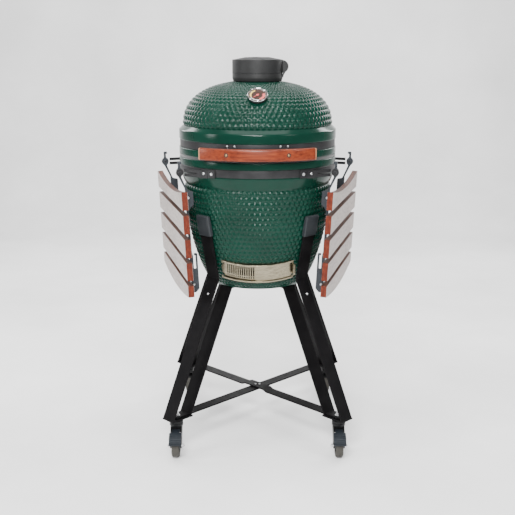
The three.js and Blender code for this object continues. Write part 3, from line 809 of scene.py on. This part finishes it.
# ---------------- chimney vent
def vent():
    base = rounded(((58, 1196), (80, 1193.6), (82.8, 1204), (82.8, 1218), (76, 1218), (76, 1213),
                    (58, 1213)), 0.8, 3)
    ear = rounded([(76, 1205), (84, 1206), (86, 1214), (92, 1224), (96, 1231), (93.5, 1238), (88, 1243.5),
                   (82.5, 1238), (84.5, 1231), (84.5, 1217), (76, 1217)], 1.5)
    ears = [shifted(upright(ear, 5), y=y) for y in (-17, 17)]
    piece("vent_collar", joined(turned(base, 128, loop=True), *ears), CAST, "lid", ["vent_base"], sharp=40)
    pin = turned(((3, -19.4), (3, 19.4), (0, 19.4)), 20)
    piece("vent_pin", aimed(pin, (88, 0, 1238), Y), CAST, "lid")

    disc_z = low, high = 1213.6, 1217
    spokes = [swept(rect((22, 56), disc_z), a + 18, a + 54, 6) for a in range(0, 360, 72)]
    hub = turned(((24, low), (24, high), (9, high), (9, high + 1.6), (0, high + 1.6)), 48)
    rim = turned(rounded(rect((54, 75.4), disc_z), 0.8, 2), 96, loop=True)
    piece("vent_daisy", joined(hub, rim, *spokes), CAST, "vent_disc", ["vent_disc"])

    cup = fillet([(76.5, 1218.5), (82.9, 1218.5), (83, 1219), (83, 1262), (56, 1267), (40, 1270), (0, 1271),
                  (0, 1264), (50, 1260), (76.5, 1255), (76.5, 1218.5)], 0.7)
    piece("vent_hood", turned(cup, 128, loop=True), CAST, "vent_cap", ["vent_cap"], sharp=50)
    lug_x, lug_z, lug_r = 81, 1240.5, 20.5
    lug = [(lug_x - 0.5, lug_z - lug_r)]
    for step in range(15):
        a = math.radians(-88 + 12.6 * step)
        lug.append((lug_x + lug_r * math.cos(a), lug_z + lug_r * math.sin(a)))
    piece("vent_lug", upright(lug, 26), CAST, "vent_cap", bevel=2.5)


# ---------------- thermometer
def thermo_place(shape):
    return shifted(spun(shape, 90 - THERMO_TILT, "X"), *thermo_centre())


def thermometer():
    # The case's dark cast side wall under the bezel stands for the shade beneath it: painted shade.
    case = turned(((0, -58), (4, -54), (4, 1.0), (28, 1.0), (30.6, 2.6), (30.6, 8.7), (28.4, 8.7),
                   (28.4, 9.4), (0, 9.4)), 96)
    piece("thermo_case", thermo_place(case), CAST, "lid", ["thermometer"], "dial", sharp=50)
    bezel = turned(((28.3, 8.6), (31.2, 8.6), (31.5, 10.4), (31.1, 12.0), (30.3, 12.6), (29.4, 12.1),
                    (28.6, 10.0)), 96, loop=True)
    piece("thermo_bezel", thermo_place(bezel), CHROME, "lid", sharp=50)
    face = turned(((28.6, 9.3), (28.6, 9.9), (0, 9.9)), 72)
    piece("thermo_face", thermo_place(face), DIAL, "lid")
    # Angles run from the bottom of the dial (-Y of the placed disc).
    arcs = ((DIAL_GOLD, "gold", 20, 112, 19, 23.5), (DIAL_RED, "red", 200, 290, 16, 23.5),
            (DIAL_WHITE, "white", 116, 196, 21.5, 23.5))
    for material, name, start, end, inner, outer in arcs:
        band = spun(swept(rect((inner, outer), (9.8, 10.15)), start, end, 24), 180)
        piece(f"thermo_arc_{name}", thermo_place(band), material, "lid")
    marks = []
    for i in range(25):
        long = 3.4 if i % 4 == 0 else 1.8
        marks.append(spun(box((-0.3, 0.3), (27.4 - long, 27.4), (9.85, 10.2)), -150 + 12.5 * i))
    piece("thermo_marks", thermo_place(joined(*marks)), DIAL_WHITE, "lid")
    needle = prism(((-1.1, -6), (1.1, -6), (0.4, 19), (-0.4, 19)), 10.6, 11.2)
    hub = turned(((3.8, 9.8), (3.8, 11.4), (2.8, 12.0), (0, 12.0)), 28)
    piece("thermo_needle", thermo_place(joined(spun(needle, 132), hub)), DIAL_RED, "lid")


# ---------------- draft door
def draft_place(shape):
    return shifted(spun(shape, DRAFT_TILT, "X"), *DRAFT_AXIS)


def draft_surround():
    """Curved frame around the air opening, with grooves for the door and the screen."""
    back, front = 198.0, DRAFT_R
    groove_in, groove_out = DRAFT_R - 8.7, DRAFT_R - 2.8
    top = ((back, 25.5), (groove_in, 25.5), (groove_in, 30.7), (groove_out, 30.7), (groove_out, 27.5),
           (front, 27.5), (front, 32.7), (front - 0.8, 33.5), (back, 33.5))
    low = tuple((r, -z) for r, z in top)[::-1]
    rails = [swept(top, -DRAFT_HALF, DRAFT_HALF, 40), swept(low, -DRAFT_HALF, DRAFT_HALF, 40)]
    posts = [swept(rect((back, groove_in), (-26, 26)), x * 28.0, x * DRAFT_HALF, 4) for x in (1, -1)]
    ears = []
    for x in (1, -1):
        for z in (28, -28):
            section = rect((groove_out - 1, front), (z - 5, z + 5))
            ears.append(swept(section, x * (DRAFT_HALF - 0.3), x * (DRAFT_HALF + 1.2), 2))
    piece("draft_surround", draft_place(joined(*rails, *posts, *ears)), STAINLESS, "stand",
          ["draft_frame"], bevel=0.7)


def draft_slide():
    """Solid sliding door with a folded finger tab."""
    door_r = (DRAFT_R - 5.3, DRAFT_R - 3.7)
    panel = swept(rect(door_r, (-30, 30)), -1.5, 31, 30)
    tab = swept(rect(door_r, (-20, 20)), 30.5, 33.2, 3)
    fold = swept(rect((door_r[0] + 0.3, DRAFT_R + 8), (-20, 20)), 32.7, 33.2, 1)
    lip = swept(rect((DRAFT_R + 6.6, DRAFT_R + 8), (-20, 20)), 31.2, 33.2, 2)
    piece("draft_slide", draft_place(joined(panel, tab, fold, lip)), STAINLESS, "draft_door",
          ["draft_door"], bevel=0.35)


def draft_mesh():
    """Sliding screen: one row of long slots over one row of short ones, behind the door."""
    screen_r = (DRAFT_R - 8, DRAFT_R - 6.4)
    slots, pitch, first = 13, 2.0, -2.4
    last = first - slots * pitch
    bars = [swept(rect(screen_r, z), -31, 1.5, 30) for z in ((24, 30), (-15, -12), (-30, -21))]
    for i in range(slots + 1):
        a = first - i * pitch
        bars.append(swept(rect(screen_r, (-13, 25)), a - 0.42, a + 0.42, 1))
        bars.append(swept(rect(screen_r, (-22, -14)), a - 0.5, a + 0.5, 1))
    bars += [swept(rect(screen_r, (-30, 30)), *ends, 3) for ends in ((-31, last), (first, 1.5))]
    tabs = [swept(rect(screen_r, (-h, h)), -30.8 - i, -31.9 - i, 1) for i, h in enumerate((19, 16, 11))]
    piece("draft_mesh", draft_place(joined(*bars, *tabs)), STAINLESS, "draft_screen", ["draft_screen"])


# ---------------- stand
# Middle lines of a leg's two strips in its own upright plane: distance from the middle axis, height.
LEG_OUTER = ((408, 122.5), (204, 562), (246, 775))
LEG_INNER = ((336, 122.5), (146, 523), (108, 523))
STEEL_THICK = 5
BRACE_REACH, BRACE_Z, BRACE_HUMP = 391, 128, 6


def leg(name, turn, stands_for):
    outer = upright(strip(LEG_OUTER, STEEL_THICK), LEG_WIDTH)
    foot = box((326, 412), (-LEG_WIDTH / 2, LEG_WIDTH / 2), (PLATE_TOP - STEEL_THICK, PLATE_TOP))
    inner = upright(strip(LEG_INNER, STEEL_THICK), LEG_WIDTH)
    piece(name, spun(joined(outer, inner, foot), turn), BLACK, "stand", [stands_for], bevel=0.9)


def arm_cap(turn):
    """Rounded plastic cap over the end of a leg's arm."""
    start, end = Vector((233.0, 709.0)), Vector((246.0, 775.5))
    along = (end - start).normalized()
    side = Vector((along.y, -along.x))
    outline = [tuple(start + side * 9), tuple(end + side * 8 + along), tuple(end - side * 5 + along),
               tuple(start - side * 6)]
    return spun(upright(rounded(outline, 5), LEG_WIDTH + 6), turn)


def brace_path(hump):
    """Middle line of a brace, raised by hump where it crosses the other brace."""
    if not hump:
        return ((-BRACE_REACH, BRACE_Z), (BRACE_REACH, BRACE_Z))
    raised = BRACE_Z + hump
    return ((-BRACE_REACH, BRACE_Z), (-60, BRACE_Z), (-44, raised), (44, raised), (60, BRACE_Z),
            (BRACE_REACH, BRACE_Z))


def stand():
    caps, nuts, bolts = [], [], []
    for end, y in ENDS:
        for side, x in SIDES:
            turn = math.degrees(math.atan2(y, x))
            leg(f"stand_leg_{end}_{side}", turn, f"leg_{end}_{side}")
            caps.append(arm_cap(turn))
            nuts.append(spun(shifted(nut_stack(9, 20), x=CASTER_RHO, z=PLATE_TOP + 5.4), turn))
            out = Vector((0.906, 0, 0.423))
            bolts.append(spun(aimed(screw(4), Vector((227.5, 0, 512)) + out * 2.2, out), turn))
    piece("arm_caps", joined(*caps), CAP, "stand", bevel=4.5)
    piece("stem_nuts", joined(*nuts), ZINC, "stand", bevel=0.4)
    piece("leg_bolts", joined(*bolts), ZINC, "stand")

    for name, turn, hump in (("brace_lower", 45, 0), ("brace_upper", -45, BRACE_HUMP)):
        bar = spun(upright(strip(brace_path(hump), STEEL_THICK), 39), turn)
        piece(f"stand_{name}", bar, BLACK, "stand", [name], bevel=0.8)
    centre = [shifted(screw(3.6), x=x, z=136.4) for x in (-7, 7)]
    piece("brace_screws", joined(*centre), ZINC, "stand")


# ---------------- casters
def caster(end, y, side, x):
    """Fork, swivel housing, stem, axle, wheel and brake pedal of one caster."""
    reach = CASTER_RHO * math.sqrt(0.5)
    place = Matrix.Translation((x * reach, y * reach, 0))
    if y > 0:
        place = place @ Matrix.Rotation(math.pi, 4, "Z")
    tag = f"{end}_{side}"

    def put(name, shape, material, body, stands_for=(), **more):
        piece(f"{name}_{tag}", moved(shape, place), material, f"{body}_{tag}", stands_for, **more)

    outline = rounded([(-40, 30), (-22, 28), (22, 84), (22, 98), (-14, 98), (-38, 74), (-42, 46)], 7)
    cheeks = [shifted(across(outline, 3), x=s * FORK_HALF) for s in (1, -1)]
    bridge = box((-FORK_HALF, FORK_HALF), (-10, 22), (88, 98))
    apron = box((-FORK_HALF, FORK_HALF), (-13, -10), (76, 98))
    guard = []
    for step in range(9):
        a = math.radians(35 + 9 * step)
        guard.append((-TRAIL + FENDER_R * math.cos(a), WHEEL_R + FENDER_R * math.sin(a)))
    fender = across(strip(guard, 2.6), 2 * FORK_HALF - 1)
    fork = joined(*cheeks, bridge, apron, fender)
    put("caster_fork", fork, PLASTIC, "caster", [f"fork_{tag}"], bevel=1.1)
    housing = turned(((20, 96), (22, 99), (22, 106), (20.4, 107), (20.4, 109), (22, 110), (22, 115),
                      (17, 119), (0, 119)), 64)
    put("caster_swivel", housing, PLASTIC, "caster", sharp=40)
    stem = turned(((6, 118), (6, 126), (0, 126)), 24)
    put("caster_stem", stem, ZINC, "caster")
    axle = [aimed(nut_stack(6.2, 8), (s * 18.4, -TRAIL, WHEEL_R), (s, 0, 0)) for s in (1, -1)]
    put("caster_axle", joined(*axle), ZINC, "caster")

    tyre = [(27, -11), (34, -12.8), (37.3, -9), (37.3, 9), (34, 12.8), (27, 11)]
    tread = turned(rounded(tyre, 2.5, 4), 72, loop=True)
    disc = turned(((27.4, -9), (27.4, 9), (22, 6.5), (13, 6.5), (11, 12.5), (5, 12.5), (4.6, 12),
                   (4.6, -12), (5, -12.5), (11, -12.5), (13, -6.5), (22, -6.5)), 64, loop=True)
    spin = Matrix.Translation((0, -TRAIL, WHEEL_R)) @ Matrix.Rotation(math.pi / 2, 4, "Y")
    put("wheel_tread", moved(tread, spin), TREAD, "wheel", [f"wheel_{tag}"], sharp=50)
    put("wheel_hub", moved(disc, spin), PEDAL, "wheel", sharp=40)
    neck = rounded(strip(((-16, 86), (-42, 86), (-54, 80)), 5), 2.5)
    plate = rounded(strip(((-44, 86.5), (-54, 82), (-64, 74), (-66, 66), (-76, 60), (-81, 60)), 4.5), 1.8)
    ribs = []
    for a, b in ((-56, 81.5), (-61, 77.5)):
        ribs.append(across(strip(((a - 2, b + 2.4), (a + 2, b + 1.2)), 2.2), 34))
    pedal = joined(across(neck, 26), across(plate, 40), *ribs)
    put("brake_pedal", pedal, PEDAL, "brake", [f"brake_{tag}"], bevel=1.0)


# ---------------- folding side shelves
def shelf_place(shape, side):
    """Places a shape made in the shelf's own frame: hinge line along Y, board faces square to X."""
    turn = Matrix.Translation(SHELF_MIDDLE) @ Matrix.Rotation(-math.radians(SHELF_TOE), 4, "Z")
    shape = moved(shape, turn @ Matrix.Rotation(math.radians(SHELF_LEAN), 4, "Y"))
    return shape if side > 0 else mirrored(shape)


def shelf_plan(u, v):
    """Plan position u outward of the hinge line and v along it, on the right-hand side."""
    a = math.radians(SHELF_TOE)
    return (SHELF_MIDDLE[0] + u * math.cos(a) + v * math.sin(a),
            SHELF_MIDDLE[1] - u * math.sin(a) + v * math.cos(a))


def slat_outline(row):
    """Board outline as (distance along the hinge line, height): the first row is hollow, the last bowed."""
    near, far = SLAT_SPAN
    top, low = -SLAT_DROPS[row], -SLAT_DROPS[row] - SLAT_WIDTH
    steps, curve = 24, 22.0
    lower, upper = [(near, low), (far, low)], [(far, top), (near, top)]
    bow = []
    for i in range(steps + 1):
        share = i / steps
        bow.append((near + (far - near) * share, curve * (1 - (2 * share - 1) ** 2)))
    if row == 0:
        upper = [(v, top - rise) for v, rise in reversed(bow)]
    if row == len(SLAT_DROPS) - 1:
        lower = [(v, low + curve - rise) for v, rise in bow]
    return lower + upper


def shelf_boards(side_name, side):
    body = f"shelf_{side_name}"
    slat_colours_and_shade = list(slat_materials(side))
    for row in range(len(SLAT_DROPS)):
        points, faces = prism(slat_outline(row), SLAT_FACE - SLAT_THICK, SLAT_FACE)
        shape = points[:, (2, 0, 1)], faces
        board = piece(f"slat_board_{side_name}_{row + 1}", shelf_place(shape, side), slat_colours_and_shade, body,
                      [f"slat_{side_name}_{row + 1}"], "shelf_wood", bevel=2.0)
        # A side face that doesn't run along the board is one of its ends; the rest are long edges, partly
        # painted shade.
        sides = [1 if np.ptp(points[list(face), 0]) < 1 else 2 for face in faces[2:]]
        board.data.polygons.foreach_set("material_index", [0, 0] + sides)


def shelf_arms(side_name, side):
    """The two arms that carry the boards, with hooks above and rests below, and their bolts."""
    body = f"shelf_{side_name}"
    outline = [(4, 34), (-8, 34), (-8, 26), (-3, 26), (-3, 14), (-10, 8), (-10, -8), (-4, -14),
               (-22, -60), (-39, -64), (-39, -108), (-28, -116), (-22, -128), (-22, -262), (-25, -276),
               (-25, -320), (-33, -320), (-33, -275), (-28, -275), (-28, -268), (-39, -268), (-39, -388),
               (-28, -400), (-13.4, -400), (-13.4, -54), (4, -14), (10, -8), (10, 8), (4, 14)]
    for end, v in ENDS:
        arm = shifted(upright(rounded(outline, 3, 3), 5), y=v * (SHELF_PIVOT - 5.2))
        piece(f"shelf_bar_{end}_{side_name}", shelf_place(arm, side), SLATE, body,
              [f"shelf_arm_{end}_{side_name}"], bevel=0.7)
        bolts = [aimed(screw(4.2), (-22, v * (SHELF_PIVOT - 2.6), -drop), (0, v, 0)) for drop in (84, 372)]
        piece(f"shelf_bolts_{end}_{side_name}", shelf_place(joined(*bolts), side), ZINC, body)


def shelf_straps(side_name, side):
    """Brackets from the bowl band to the hinge line: two bars, a shoe, an eye and its pin."""
    hinge_z = SHELF_MIDDLE[2]
    for end, angle, v in STRAP_ANGLES:
        start = tuple((outward(angle) * STRAP_R).to_2d())
        eye_plan = shelf_plan(-16, v * SHELF_PIVOT)
        hinge_line = Vector((math.sin(math.radians(SHELF_TOE)), math.cos(math.radians(SHELF_TOE)), 0)) * v
        bars = [prism(strip((start, eye_plan), 4), *z) for z in STRAP_BARS]
        middle = tuple(np.array(start) * 0.55 + np.array(eye_plan) * 0.45)
        root = prism(strip((start, middle), 4.2), STRAP_BARS[0][0], STRAP_BARS[1][1])
        eye_at = Vector((*shelf_plan(0, v * SHELF_PIVOT), hinge_z))
        eye = aimed(turned(((12, -2), (12, 2), (0, 2), (0, -2)), 40), eye_at, hinge_line)
        shoe = swept(rect((260.6, 265), (903, 927)), angle - 6, angle + 6, 8)
        pin_at = Vector((*shelf_plan(0, v * (SHELF_PIVOT + 2)), hinge_z))
        pin = aimed(turned(((4, -3), (4, 12), (0, 12)), 20), pin_at, -hinge_line)
        strap = joined(*bars, root, eye, shoe, pin)
        heads = screws_around(5, 264.8, 915, (angle - 3.4, angle + 3.4))
        if side < 0:
            strap, heads = mirrored(strap), mirrored(heads)
        piece(f"band_strap_{end}_{side_name}", strap, BAND, "stand", [f"bracket_{end}_{side_name}"],
              "bracket_steel", bevel=0.8)
        piece(f"strap_screws_{end}_{side_name}", heads, ZINC, "stand")


studio()
base_shell()
lid_shell()
draft_sleeve()
bands()
rear_hinge()
fire_box()
charcoal_grate()
cooking_grate()
handle()
vent()
thermometer()
draft_surround()
draft_slide()
draft_mesh()
stand()
for end_name, end_sign in ENDS:
    for side_name, side_sign in SIDES:
        caster(end_name, end_sign, side_name, side_sign)
for side_name, side_sign in SIDES:
    shelf_boards(side_name, side_sign)
    shelf_arms(side_name, side_sign)
    shelf_straps(side_name, side_sign)
